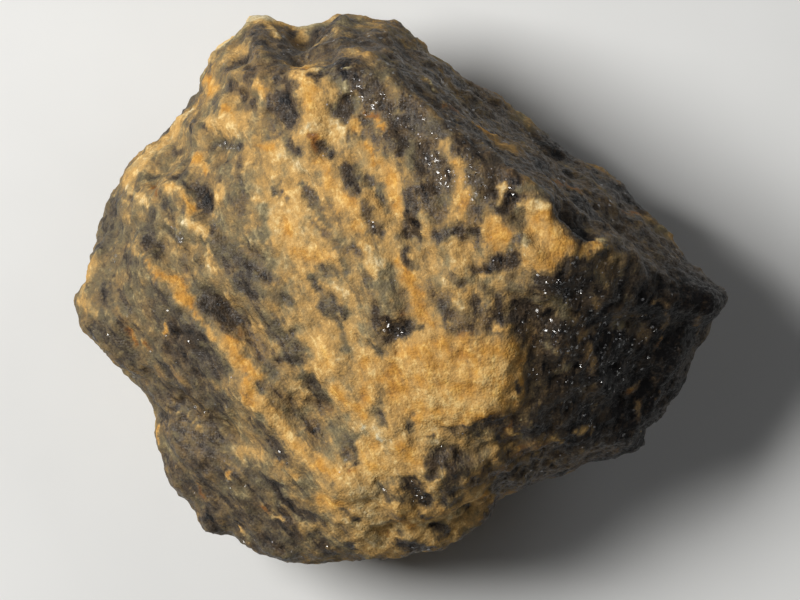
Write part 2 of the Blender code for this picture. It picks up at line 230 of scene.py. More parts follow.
# The left side, with its thin streaks.
LEFT_SIDE = (
    ("slate", 13, (212, 238), (234, 262), (252, 286)),
    ("slate", 18, (158, 300), (182, 330), (210, 362)),
    ("slate", 12, (174, 384), (214, 402)),
    ("slate", 8, (92, 240), (90, 256)),
    ("slate", 11, (114, 204), (104, 220), (104, 240)),
    ("slate", 4, (140, 176), (152, 176)),
    ("olive", 4, (162, 166), (167, 176)),
    ("slate", 6, (180, 174), (188, 182)),
    ("slate", 9, (190, 190), (208, 196)),
    ("black", 7, (204, 190), (208, 210)),
    ("rust", 3, (149, 183), (158, 192)),
    ("orange", 5, (196, 158), (206, 168)),
    ("yellow", 3, (166, 182), (180, 192)),
    ("pale", 4, (124, 186), (132, 192)),
    ("ochre", 4, (170, 188), (186, 198), (195, 212)),
    ("slate", 5, (167, 203), (186, 208)),
    ("yellow", 4, (136, 194), (150, 208)),
    ("slate", 8, (152, 214), (146, 232), (156, 254)),
    ("slate", 6, (168, 228), (182, 238)),
    ("yellow", 5, (188, 222), (206, 230)),
    ("yellow", 4, (205, 238), (209, 254)),
    ("pale", 3, (206, 256), (214, 272)),
    ("yellow", 4, (218, 196), (220, 204)),
    ("slate", 7, (216, 247), (232, 254)),
    ("grey", 6, (222, 222), (232, 236)),
    ("pale", 2, (246, 226), (252, 244)),
    ("grey", 6, (260, 210), (266, 236)),
    ("slate", 7, (232, 262), (246, 272)),
    ("slate", 8, (252, 268), (272, 278)),
    ("pale", 3, (277, 271), (279, 273)),
    ("olive", 6, (108, 256), (114, 262)),
    ("slate", 6, (126, 256), (134, 262)),
    ("tan", 9, (88, 262), (80, 300)),
    ("olive", 9, (98, 318), (120, 326)),
    ("slate", 6, (103, 288), (107, 306)),
    ("black", 1.5, (106, 280), (106, 284)),
    ("tan", 5, (84, 304), (92, 314)),
    ("slate", 12, (92, 330), (110, 340), (126, 354)),
    ("rust", 4, (126, 328), (134, 344)),
    ("brown", 4, (115, 308), (124, 322)),
    ("olive", 12, (122, 276), (132, 304)),
    ("slate", 8, (156, 298), (172, 312)),
    ("orange", 2, (139, 252), (150, 268)),
    ("orange", 6, (158, 273), (176, 280)),
    ("orange", 8, (174, 282), (186, 296)),
    ("ochre", 4, (190, 304), (202, 322), (214, 336)),
    ("orange", 9, (230, 342), (240, 364)),
    ("orange", 6, (240, 360), (256, 372)),
    ("slate", 7, (198, 284), (212, 294)),
    ("black", 12, (208, 302), (226, 314), (238, 324)),
    ("black", 12, (176, 330), (196, 340)),
    ("black", 10, (168, 348), (182, 356)),
    ("slate", 10, (204, 350), (224, 372)),
    ("orange", 3, (162, 322), (164, 330)),
    ("rust", 4, (144, 342), (151, 353)),
    ("brown", 7, (160, 372), (196, 376)),
    ("slate", 7, (118, 364), (134, 378), (150, 396)),
    ("low", 9, (176, 362), (200, 384), (214, 404)),
    ("black", 6, (186, 392), (196, 402)),
    ("slate", 6, (162, 366), (168, 378)),
    ("slate", 8, (212, 390), (226, 400)),
    ("slate", 8, (238, 284), (258, 294)),
    ("slate", 4, (284, 296), (292, 300)),
    ("grey", 6, (262, 286), (272, 292)),
    ("olive", 10, (246, 304), (262, 312)),
    ("white", 3, (264, 324), (270, 326)),
    ("slate", 9, (272, 325), (286, 340), (298, 352)),
    ("brown", 9, (244, 332), (262, 348)),
    ("slate", 6, (270, 364), (273, 374)),
    ("slate", 4, (280, 358), (304, 360)),
    ("slate", 8, (306, 374), (318, 388), (326, 400)),
    ("orange", 8, (246, 384), (252, 402)),
    ("yellow", 5, (290, 382), (306, 392)),
    ("brown", 5, (262, 384), (290, 398)),
    ("tan", 8, (300, 308), (314, 318)),
    ("gold", 11, (320, 342), (328, 364)),
    ("slate", 8, (324, 302), (340, 314)),
    ("olive", 4, (338, 318), (344, 348)),
    ("yellow", 4, (353, 328), (356, 370)),
    ("slate", 4, (372, 344), (378, 350)),
    ("slate", 4, (368, 372), (370, 380)),
    ("yellow", 5, (334, 286), (354, 296)),
    ("slate", 5, (311, 276), (318, 288)),
    ("olive", 5, (324, 266), (336, 272)),
    ("ochre", 7, (296, 254), (326, 256)),
    ("grey", 11, (378, 284), (390, 304)),
)
# The groove and the low block.
LOW_BLOCK = (
    ("tan", 2, (164, 408), (188, 417), (204, 430), (218, 444)),
    ("dark", 7, (208, 420), (228, 440)),
    ("black", 3, (248, 416), (253, 428)),
    ("dark", 8, (260, 424), (276, 446), (284, 460)),
    ("gold", 7, (264, 404), (278, 422), (292, 440), (308, 456)),
    ("ochre", 7, (314, 460), (338, 474)),
    ("dark", 5, (164, 423), (180, 428)),
    ("dark", 4, (188, 430), (193, 434)),
    ("grey", 7, (160, 440), (172, 456)),
    ("orange", 3, (156, 426), (158, 440)),
    ("tan", 6, (236, 452), (262, 452)),
    ("slate", 9, (252, 470), (272, 486), (290, 504)),
    ("orange", 3, (224, 474), (230, 478)),
    ("ochre", 4, (280, 466), (302, 480)),
    ("grey", 8, (300, 484), (318, 496)),
    ("white", 2, (282, 484), (288, 488)),
    ("black", 6, (275, 486), (282, 498)),
    ("black", 7, (292, 506), (308, 516)),
    ("black", 10, (284, 518), (296, 534)),
    ("rust", 4, (194, 484), (200, 498)),
    ("black", 6, (204, 514), (211, 526)),
    ("grey", 5, (222, 488), (246, 496)),
    ("dark", 5, (168, 468), (176, 482)),
    ("rust", 4, (260, 506), (268, 512)),
    ("yellow", 4, (274, 514), (284, 518)),
    ("yellow", 4, (241, 532), (249, 538)),
    ("slate", 11, (256, 540), (286, 550)),
    ("black", 5, (264, 538), (280, 546)),
    ("black", 6, (320, 542), (326, 556)),
    ("black", 4, (346, 542), (354, 548)),
    ("tan", 6, (304, 526), (340, 530)),
)
# The middle, between the groove and the big patch.
MIDDLE = (
    ("brown", 6, (306, 396), (326, 404)),
    ("brown", 5, (308, 420), (316, 438)),
    ("black", 2, (318, 425), (319, 428)),
    ("grey", 15, (338, 422), (352, 444)),
    ("slate", 7, (346, 440), (354, 454)),
    ("ochre", 4, (336, 392), (344, 404)),
    ("orange", 7, (338, 390), (350, 404), (362, 414)),
    ("dark", 5, (346, 450), (354, 458)),
    ("rust", 3, (348, 466), (352, 470)),
    ("gold", 12, (370, 446), (378, 472)),
    ("white", 3, (377, 434), (380, 438)),
    ("white", 2, (362, 428), (364, 432)),
    ("olive", 5, (380, 410), (384, 424)),
    ("dark", 4, (408, 414), (412, 428)),
    ("ochre", 10, (404, 446), (414, 458)),
    ("dark", 2, (429, 434), (437, 434)),
    ("black", 6, (428, 460), (430, 476)),
    ("black", 10, (412, 484), (422, 496)),
    ("dark", 10, (438, 452), (456, 468), (450, 488)),
    ("ochre", 10, (324, 500), (342, 504)),
    ("olive", 9, (384, 488), (394, 504)),
    ("rust", 2, (373, 486), (375, 489)),
    ("rust", 2, (365, 503), (368, 506)),
)
# The near edge, with painted light on its steep lower right side.
NEAR_EDGE = (
    ("orange", 6, (402, 520), (412, 526)),
    ("yellow", 5, (376, 520), (388, 540)),
    ("yellow", 8, (350, 520), (372, 536)),
    ("pale", 4, (364, 526), (376, 544)),
    ("yellow", 8, (358, 490), (372, 514)),
    ("gold", 6, (396, 506), (412, 514)),
    ("yellow", 4, (440, 546), (456, 536)),
    ("ochre", 5, (470, 500), (486, 492)),
    ("rust", 2, (386, 531), (388, 534)),
    ("black", 9, (402, 544), (424, 548)),
    ("black", 7, (438, 526), (444, 532)),
    ("tan", 4, (440, 514), (462, 518)),
    ("tan", 4, (360, 550), (386, 552)),
    ("yellow", 4, (466, 480), (470, 486)),
    ("tan", 4, (454, 518), (466, 526)),
    ("mottled", 3, (530, 452), (548, 456)),
    ("brown", 3, (578, 452), (620, 452)),
    ("yellow", 4, (506, 428), (514, 432)),
    ("dark", 4, (464, 424), (500, 422)),
    ("mottled", 9, (474, 436), (488, 466)),
    ("dark", 11, (436, 454), (466, 462)),
    ("brown", 10, (472, 480), (500, 472)),
    ("dark", 5, (446, 500), (466, 506)),
    ("dark", 5, (500, 456), (520, 462)),
    ("dark", 4, (344, 508), (356, 516)),
    ("dark", 3, (392, 526), (400, 532)),
    ("brown", 4, (418, 512), (430, 518)),
    # Painted light: lighter tan on the steep lower right side, where shade falls.
    ("tan", 9, (488, 500), (470, 516)),
    ("dark", 5, (496, 436), (504, 452)),
    ("tan", 3, (504, 446), (516, 448)),
    ("white", 2, (515, 414), (517, 420)),
)
# The big ochre patch and what lies above it.
BIG_PATCH = (
    ("ochre", 9, (362, 360), (366, 400)),
    ("tan", 7, (394, 344), (404, 348)),
    ("orange", 5, (398, 258), (408, 280)),
    ("orange", 6, (406, 278), (418, 302), (430, 322)),
    ("grey", 8, (386, 274), (390, 310)),
    ("dark", 5, (406, 252), (410, 266)),
    ("black", 8, (390, 334), (408, 326)),
    ("dark", 3, (412, 330), (422, 328)),
    ("yellow", 5, (446, 258), (460, 264)),
    ("dark", 5, (454, 276), (458, 284)),
    ("dark", 6, (472, 270), (492, 264)),
    ("dark", 5, (470, 296), (478, 310)),
    ("dark", 4, (492, 308), (498, 316)),
    ("dark", 5, (440, 304), (446, 312)),
    ("dark", 4, (444, 320), (452, 326)),
    ("dark", 4, (467, 324), (474, 334)),
    ("pale", 3, (456, 298), (462, 306)),
    ("olive", 7, (484, 286), (494, 300)),
    ("pale", 2, (486, 296), (490, 312)),
    ("ochre", 5, (496, 326), (508, 330)),
    ("ochre", 15, (508, 350), (514, 376)),
    ("brown", 10, (528, 330), (530, 352)),
    ("olive", 8, (534, 366), (530, 384)),
    ("ochre", 10, (436, 418), (474, 412)),
    ("ochre", 20, (412, 360), (440, 356), (490, 354)),
    ("ochre", 22, (410, 388), (450, 386), (492, 384)),
    ("gold", 15, (430, 398), (506, 398)),
    ("gold", 13, (400, 404), (440, 412)),
    ("gold", 7, (452, 372), (500, 366)),
    ("orange", 7, (396, 370), (410, 384)),
    ("orange", 6, (432, 358), (442, 364)),
    ("orange", 6, (462, 352), (476, 360)),
    ("dark", 4, (514, 380), (518, 388)),
)
# The far right ochre blob and the crest beside it.
CREST = (
    ("ochre", 14, (490, 228), (500, 244)),
    ("tan", 9, (456, 252), (420, 256)),
    ("dark", 7, (436, 236), (452, 234), (470, 230)),
    ("pale", 3, (451, 240), (452, 246)),
    ("black", 8, (490, 264), (512, 258)),
    ("olive", 4, (516, 212), (516, 236), (506, 252)),
    ("black", 3, (519, 228), (517, 246)),
    ("ochre", 17, (541, 226), (556, 246)),
    ("ochre", 12, (532, 258), (546, 268)),
    ("pale", 5, (522, 206), (544, 206)),
    ("ochre", 7, (578, 252), (596, 248)),
    ("orange", 3, (590, 254), (594, 258)),
    ("pale", 3, (586, 236), (598, 242)),
    ("black", 9, (566, 214), (578, 222)),
    ("olive", 5, (584, 228), (592, 234)),
    ("olive", 5, (604, 250), (616, 262)),
    ("olive", 8, (516, 290), (540, 300)),
    ("mottled", 6, (548, 300), (566, 310)),
    ("black", 12, (544, 282), (590, 272)),
    ("rust", 5, (551, 182), (560, 184)),
    ("rust", 5, (568, 188), (580, 190)),
    ("mottled", 4, (602, 176), (607, 179)),
    ("rust", 4, (624, 212), (638, 214)),
    ("brown", 3, (602, 224), (618, 236)),
    ("olive", 4, (560, 160), (590, 178), (612, 200)),
    ("brown", 3, (520, 128), (544, 148), (556, 164)),
    ("olive", 3, (484, 112), (508, 130), (530, 152)),
)
# The dark face towards the pointed end.
DARK_FACE = (
    ("dark", 9, (556, 340), (566, 366)),
    ("dark", 12, (588, 262), (606, 280)),
    ("olive", 5, (592, 266), (602, 284)),
    ("grey", 8, (550, 298), (568, 318)),
    ("dark", 11, (618, 312), (640, 334)),
    ("brown", 6, (580, 336), (592, 358)),
    ("dark", 9, (528, 358), (538, 396)),
    ("dark", 8, (584, 388), (600, 412)),
    ("grey", 4, (548, 344), (554, 350)),
    ("brown", 4, (584, 334), (592, 328)),
    ("brown", 5, (590, 300), (596, 308)),
    ("grey", 6, (610, 326), (622, 324)),
    ("brown", 6, (590, 346), (588, 370)),
    ("grey", 5, (556, 372), (566, 366)),
    ("dark", 5, (626, 294), (632, 302)),
    ("tan", 2, (638, 318), (642, 316)),
    ("brown", 4, (654, 302), (664, 304)),
    ("brown", 4, (666, 316), (666, 330)),
    ("rust", 3, (662, 338), (656, 346)),
    ("brown", 3, (697, 318), (698, 334)),
    ("rust", 5, (624, 394), (638, 386)),
    ("brown", 2, (657, 384), (657, 396)),
    ("brown", 4, (638, 400), (636, 420)),
    ("yellow", 2, (639, 431), (641, 433)),
    ("tan", 5, (578, 430), (590, 428)),
    ("tan", 4, (550, 438), (558, 442)),
    ("grey", 2, (530, 425), (532, 426)),
    ("grey", 2, (551, 412), (553, 414)),
)
MARKS = (
    FAR_BAND, TONGUE_AND_FIELD, LEFT_SIDE, LOW_BLOCK, MIDDLE,
    NEAR_EDGE, BIG_PATCH, CREST, DARK_FACE,
)

# Where crystal faces flash in the photograph. The same places also get painted glints, bright
# specks in the colour, besides faces that really flash.
GLITTER = (
    ("few", 90, (230, 180), (310, 330), (440, 380)),
    ("some", 30, (380, 90), (430, 130), (470, 180)),
    ("some", 50, (560, 310), (600, 360)),
    ("many", 10, (412, 488), (420, 496)),
    ("many", 8, (430, 156), (442, 182)),
    ("many", 6, (473, 164), (476, 176)),
    ("many", 7, (174, 228), (182, 238)),
    ("many", 7, (214, 220), (222, 226)),
    ("many", 6, (224, 144), (240, 148)),
    ("some", 6, (252, 50), (258, 58)),
    ("many", 5, (440, 78), (444, 80)),
    ("some", 10, (344, 72), (350, 90)),
    ("many", 7, (390, 326), (396, 330)),
    ("many", 6, (460, 426), (462, 434)),
    ("some", 6, (590, 422), (596, 426)),
    ("many", 9, (612, 322), (620, 330)),
    ("many", 9, (552, 284), (562, 300)),
    ("some", 8, (580, 276), (588, 284)),
    ("some", 9, (606, 266), (616, 286)),
    ("some", 5, (520, 184), (526, 188)),
    ("some", 5, (170, 338), (174, 342)),
    ("some", 5, (104, 343), (108, 348)),
    ("some", 5, (202, 296), (206, 300)),
    ("some", 6, (366, 218), (370, 226)),
    ("some", 9, (536, 314), (548, 322)),
)

# How far the areas' edges wander, by the size of the wave, with the first seed of the waves, and
# over which share of its width an area fades out.
EDGE_WAVES = ((0.50, 0.09), (0.20, 0.08), (0.09, 0.05))
EDGE_SEED = 50
AREA_SOFTNESS = 1.0
MARK_SOFTNESS = 1.1
GLITTER_SOFTNESS = 1.4

# One layer of noise on the mesh: how much it adds, the size of its waves, how many ever finer waves
# it has, and the seed of its random numbers.
Layer = namedtuple("Layer", "share size octaves seed")

# The sides that the photograph doesn't show: their mean lightness, hue and share of glints, and the
# noise on each. They get darker to the right, from this x on and over this length.
HIDDEN_LIGHT = 0.44
HIDDEN_LIGHT_NOISE = Layer(0.50, 0.9, 3, 11)
HIDDEN_HUE = 0.36
HIDDEN_HUE_NOISE = Layer(0.45, 0.7, 2, 23)
HIDDEN_GLINTS = 0.12
HIDDEN_GLINTS_NOISE = Layer(0.25, 0.8, 1, 29)
DARKENING = 0.32
DARKENING_START = -0.5
DARKENING_LENGTH = 5.0

# The fine surface: the size of its faces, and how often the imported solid's corners are eased. How
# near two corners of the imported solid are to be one, in metres.
FINE_VOXEL = 0.070
EASE_STEPS = 4
SAME_CORNER = 1e-7
# How near to the resting face a corner belongs to it.
REST_BAND = 0.02

# The relief of the fine surface: small broken faces, with their height, size and seed, and grains
# along the streaks and all ways. The faces are flatter on pale earth, which stands out a little.
Faces = namedtuple("Faces", "height size seed")
BIG_FACES = Faces(0.045, 0.42, 71)
SMALL_FACES = Faces(0.034, 0.21, 73)
EARTH_FLATNESS = 0.4
EARTH_RISE = 0.04
MIDDLE_LIGHT = 0.5
LONG_GRAINS = Layer(0.014, 0.30, 2, 61)
ROUND_GRAINS = Layer(0.028, 0.22, 2, 67)
# Painted light and shade on the relief: how much lighter the colour gets for each millimetre that a
# grain or a face stands out, and darker where it lies deeper.
GRAIN_PAINTED_LIGHT = 2.0
FACE_PAINTED_LIGHT = 1.0

# Heights from which a place is looked for on the stone: from over its top, or else near its middle.
OVER_THE_STONE = 50.0
MIDDLE_HEIGHT = 3.0


# Repeatable noise on many points at once.

# Large odd numbers that mix a cell's place and a seed into random bits, and how many of the bits
# each random number takes.
AXIS_FACTORS = (73856093, 19349663, 83492791)
SEED_FACTOR = 2654435761
MIX_FACTOR = 0xFF51AFD7ED558CCD
MIX_SHIFT = np.uint64(33)
MIX_ROUNDS = 2
RANDOM_BITS = 21
# Brings the waves to heights from about -1 to 1.
WAVE_GAIN = 1.6
# How wide the eased edge between two facets is, as a share of their size.
FACET_EDGE = 0.2


def lattice_random(cells, seed):
    """Three repeatable random numbers from 0 to 1 for each cell of a lattice."""
    mixed = np.full(len(cells), seed * SEED_FACTOR, dtype=np.uint64)
    for axis, factor in enumerate(AXIS_FACTORS):
        mixed ^= cells[:, axis].astype(np.uint64) * np.uint64(factor)
    for _ in range(MIX_ROUNDS):
        mixed ^= mixed >> MIX_SHIFT
        mixed *= np.uint64(MIX_FACTOR)
    mixed ^= mixed >> MIX_SHIFT
    low_bits = np.uint64(2**RANDOM_BITS - 1)
    parts = [(mixed >> np.uint64(part * RANDOM_BITS)) & low_bits for part in range(3)]
    return np.stack(parts, axis=1) / float(low_bits)


def waves(points, size, seed):
    """Smooth noise from about -1 to 1, with waves of this size."""
    places = points / size
    cells = np.floor(places).astype(np.int64)
    inside = places - cells
    fade = inside**3 * (inside * (inside * 6 - 15) + 10)
    total = np.zeros(len(points))
    for corner in itertools.product((0, 1), repeat=3):
        weight = np.where(corner, fade, 1 - fade).prod(axis=1)
        slope = lattice_random(cells + corner, seed) * 2 - 1
        total += weight * ((inside - corner) * slope).sum(axis=1)
    return total * WAVE_GAIN


def rough_waves(points, size, octaves, seed):
    """Waves with ever finer and lower ones on them."""
    return sum(
        waves(points, size / 2**step, seed + step) / 2**step for step in range(octaves)
    )


def layer(points, noise):
    """A layer of noise on the points."""
    return noise.share * rough_waves(points, noise.size, noise.octaves, noise.seed)


def facets(points, size, seed):
    """Small tilted faces that meet in edges, as on broken mineral, from about -1 to 1."""
    places = points / size
    cells = np.floor(places).astype(np.int64)
    nearest = np.full(len(points), np.inf)
    second = np.full(len(points), np.inf)
    height = np.zeros(len(points))
    other = np.zeros(len(points))
    for step in itertools.product((-1, 0, 1), repeat=3):
        cell = cells + step
        offset = places - cell - lattice_random(cell, seed)
        far = (offset**2).sum(axis=1)
        tilt = ((lattice_random(cell, seed + 1) * 2 - 1) * offset).sum(axis=1)
        closer = far < nearest
        between = ~closer & (far < second)
        other = np.where(closer, height, np.where(between, tilt, other))
        second = np.where(closer, nearest, np.where(between, far, second))
        height = np.where(closer, tilt, height)
        nearest = np.where(closer, far, nearest)
    from_edge = np.clip((np.sqrt(second) - np.sqrt(nearest)) / FACET_EDGE, 0, 1)
    share = 0.5 + 0.5 * from_edge
    return share * height + (1 - share) * other


def broken_faces(points, faces):
    """The height of small broken faces at the points."""
    return faces.height * facets(points, faces.size, faces.seed)


def along_streaks(points):
    """The points with x along the streaks, drawn together so that noise comes out long on them."""
    x = points[:, 0] - (STREAK_SOURCE[0] - MIDDLE_PIXEL[0]) * MM_PER_PIXEL
    y = points[:, 1] - (MIDDLE_PIXEL[1] - STREAK_SOURCE[1]) * MM_PER_PIXEL
    across = np.arctan2(x, y) * STREAK_REACH
    return np.stack((np.hypot(x, y) / STREAK_LENGTH, across, points[:, 2]), axis=1)


# The stone's fine mesh.


def evaluated(obj):
    """The object's mesh with its modifiers applied."""
    graph = bpy.context.evaluated_depsgraph_get()
    mesh = bpy.data.meshes.new_from_object(obj.evaluated_get(graph))
    obj.modifiers.clear()
    return mesh


def mesh_rows(mesh, what):
    """A mesh's corners ("co") or their normals ("normal") as rows of three numbers."""
    values = np.zeros(len(mesh.vertices) * 3)
    mesh.vertices.foreach_get(what, values)
    return values.reshape(-1, 3)


def fine_stone():
    """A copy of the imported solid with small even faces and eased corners, in millimetres."""
    solid = bmesh.new()
    solid.from_mesh(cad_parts[NODE].data)
    bmesh.ops.remove_doubles(solid, verts=solid.verts, dist=SAME_CORNER)
    solid.transform(Matrix.Scale(1 / MM, 4))
    mesh = bpy.data.meshes.new("stone")
    solid.to_mesh(mesh)
    solid.free()

    stone = bpy.data.objects.new("stone", mesh)
    bpy.context.scene.collection.objects.link(stone)
    even = stone.modifiers.new("even_faces", "REMESH")
    even.mode = "VOXEL"
    even.voxel_size = FINE_VOXEL
    ease = stone.modifiers.new("eased_corners", "SMOOTH")
    ease.iterations = EASE_STEPS
    stone.data = evaluated(stone)
    return stone


# Where the ochre, grey and black areas lie.


def on_stone(surface, pixel):
    """The point of the stone that the photograph shows at this pixel."""
    x = (pixel[0] - MIDDLE_PIXEL[0]) * MM_PER_PIXEL
    y = (MIDDLE_PIXEL[1] - pixel[1]) * MM_PER_PIXEL
    down = Vector((0.0, 0.0, -1.0))
    hit = surface.ray_cast(Vector((x, y, OVER_THE_STONE)), down)[0]
    return hit or surface.find_nearest(Vector((x, y, MIDDLE_HEIGHT)))[0]


def distance_to_path(points, path):
    """How far each point is from a path of straight runs."""
    path = [np.array(place) for place in path]
    nearest = np.full(len(points), np.inf)
    for start, end in zip(path, path[1:]):
        run = end - start
        share = np.clip((points - start) @ run / (run @ run), 0, 1)
        off = points - start - share[:, None] * run
        nearest = np.minimum(nearest, np.sqrt((off**2).sum(axis=1)))
    return nearest


def paint(fields, points, surface, areas, tones, softness):
    """Lays the areas over the fields in their order, each fading out over a share of its width."""
    for tone, half_width, *pixels in areas:
        path = [on_stone(surface, pixel) for pixel in pixels]
        share = distance_to_path(points, path) / (half_width * MM_PER_PIXEL)
        weight = np.clip((1 - share) / softness + 0.5, 0, 1)
        weight = weight * weight * (3 - 2 * weight)
        for field, value in zip(fields, tones[tone]):
            field += (value - field) * weight


def mineral_fields(mesh):
    """What each corner of the mesh is: its lightness, its hue and its share of glints, 0 to 1."""
    points = mesh_rows(mesh, "co")
    surface = BVHTree.FromPolygons(
        [Vector(p) for p in points], [f.vertices[:] for f in mesh.polygons]
    )
    streaky = along_streaks(points)
    # The sides that the photograph doesn't show go on in the same streaks, darker to the right.
    darker = np.clip((points[:, 0] - DARKENING_START) / DARKENING_LENGTH, 0, 1)
    light = HIDDEN_LIGHT - DARKENING * darker + layer(streaky, HIDDEN_LIGHT_NOISE)
    hue = HIDDEN_HUE + layer(streaky, HIDDEN_HUE_NOISE)
    glints = HIDDEN_GLINTS + layer(points, HIDDEN_GLINTS_NOISE)
    wandering = points.copy()
    for size, reach in EDGE_WAVES:
        for axis in range(3):
            wandering[:, axis] += reach * waves(points, size, EDGE_SEED + axis)
    paint((light, hue), wandering, surface, BROAD_AREAS, TONES, AREA_SOFTNESS)
    for marks in MARKS:
        paint((light, hue), wandering, surface, marks, TONES, MARK_SOFTNESS)
    paint((glints,), wandering, surface, GLITTER, GLITTER_TONES, GLITTER_SOFTNESS)
    fields = {"light": light, "hue": hue, "glints": glints}
    return {name: np.clip(values, 0, 1) for name, values in fields.items()}


def roughen(mesh, fields):
    """Gives the surface its fine broken relief, and keeps the resting face flat.

    What stands out is painted a little lighter, and what lies deeper is painted darker: painted
    light and shade on the relief.
    """
    points, normals = mesh_rows(mesh, "co"), mesh_rows(mesh, "normal")
    streaky = along_streaks(points)
    light = fields["light"]
    broken = broken_faces(points, BIG_FACES) * (1 - EARTH_FLATNESS * light)
    broken += broken_faces(points, SMALL_FACES)
    grains = layer(streaky, LONG_GRAINS) + layer(points, ROUND_GRAINS)
    height = broken + grains + EARTH_RISE * (light - MIDDLE_LIGHT)
    resting = points[:, 2] < REST_BAND
    points += normals * height[:, None]
    points[:, 2] = np.where(resting, 0.0, np.maximum(points[:, 2], 0.0))
    mesh.vertices.foreach_set("co", points.ravel())
    mesh.update()
    # Painted light and shade: raised grains and faces lighter, deeper ones darker.
    fields["light"] = np.clip(light + GRAIN_PAINTED_LIGHT * grains + FACE_PAINTED_LIGHT * broken, 0, 1)


# The mineral material.


def linear(red, green, blue):
    """A colour given as screen values from 0 to 255, as light."""
    parts = (value / 255 for value in (red, green, blue))
    return (*(((p + 0.055) / 1.055) ** 2.4 if p > 0.04 else p / 12.92 for p in parts), 1.0)


# Each hue's colours from black mineral to pale earth.
GREYS = (
    linear(12, 10, 11),
    linear(66, 58, 49),
    linear(111, 101, 77),
    linear(164, 150, 113),
    linear(222, 211, 180),
)
GOLDS = (
    linear(14, 11, 11),
    linear(76, 62, 46),
    linear(136, 112, 75),
    linear(194, 154, 93),
    linear(230, 200, 138),
)
ORANGES = (
    linear(14, 11, 10),
    linear(80, 57, 40),
    linear(140, 95, 50),
    linear(195, 142, 66),
    linear(230, 182, 96),
)
# The colour of the painted glints, bright specks that stand in for crystal faces catching the lamp.
PAINTED_GLINT_COLOUR = linear(208, 204, 210)
# The hues at which the grey, golden and orange colours are pure.
GREY_HUE, GOLD_HUE, ORANGE_HUE = 0.0, 0.5, 1.0

# The material's noises: the size of their waves in millimetres, their detail and their roughness.
STREAKY_NOISES = {
    "streaks": (0.18, 4.0, 0.6),
    "dark_grains": (0.20, 3.0, 0.55),
    "lines": (0.24, 2.0, 0.5),
}
EVEN_NOISES = {
    "blots": (0.26, 4.0, 0.6),
    "grain": (0.090, 3.0, 0.65),
    "dust": (0.030, 2.0, 0.7),
    "tints": (0.34, 3.0, 0.5),
    "pale_grains": (0.15, 3.0, 0.55),
}
NOISE_MIDDLE = 0.5
# The sizes of the crystal faces and of the painted glint specks.
FACE_SIZE = 0.055
PAINTED_GLINT_SIZE = 0.040

# How far each noise shifts the shade, from dark to light, and the tint, from grey to orange.
SHADE_SHARES = {"streaks": 0.36, "blots": 0.26, "grain": 0.32, "dust": 0.22, "faces": 0.06}
TINT_SHARES = {"tints": 0.9, "blots": -0.3, "streaks": 0.6, "grain": 0.15}

# The dark and pale grains: from which noise on they begin and are full, and what they add to the
# shade. The ochre, which begins and is full at these lightnesses, hides most of the dark ones.
DARK_GRAIN_EDGE = (0.54, 0.63)
DARK_GRAIN_SHADE = -0.15
PALE_GRAIN_EDGE = (0.56, 0.65)
PALE_GRAIN_SHADE = 0.12
OCHRE_EDGE = (0.50, 0.72)
OCHRE_COVER = 0.7

# The thin lines: how far their noise is from its middle where they begin and are full, at which
# lightness and blots they begin and are full, and what they add to the shade.
LINE_EDGE = (0.050, 0.0)
LINE_LIGHT = (0.25, 0.55)
LINE_BLOTS = (0.42, 0.62)
LINE_SHADE = 0.13

# The painted glint specks, bright colour in place of crystal faces catching the lamp: how many of
# the cells are one where glints are thickest, and how far from a cell's middle the speck begins and
# is full.
PAINTED_GLINT_CHANCE = 0.045
PAINTED_GLINT_EDGE = (0.60, 0.10)

# The shades between which bare mineral turns to earth, and how many of the crystal faces flash
# where glints are thickest.
EARTH_EDGE = (0.30, 0.60)
FLASH_CHANCE = 0.30
# The roughness of the smoothest bare face, what chance and earth add to it, and what a flash takes.
FACE_ROUGHNESS = 0.38
CHANCE_ROUGHNESS = 0.25
EARTH_ROUGHNESS = 0.25
FLASH_SMOOTHNESS = 0.30
# The gloss of earth, and what bare faces and flashing ones add to it.
EARTH_GLOSS = 0.03
BARE_GLOSS = 0.05
FLASH_GLOSS = 0.60
# Tanteuxenite bends light strongly, so its bare crystal faces flash. How far the faces are turned.
MINERAL_IOR = 2.1
FLASH_TILT = 0.8
BARE_TILT = 0.35
# The middle of the cells' random colours, which turn the faces.
MIDDLE_COLOUR = (0.5, 0.5, 0.5)

# The unevenness finer than the mesh: what each pattern adds to it, and how high it is.
GRAIN_BUMP = 0.6
DUST_BUMP = 0.3
FACE_BUMP = -0.5
BUMP_STRENGTH = 0.7
BUMP_HEIGHT = 0.035


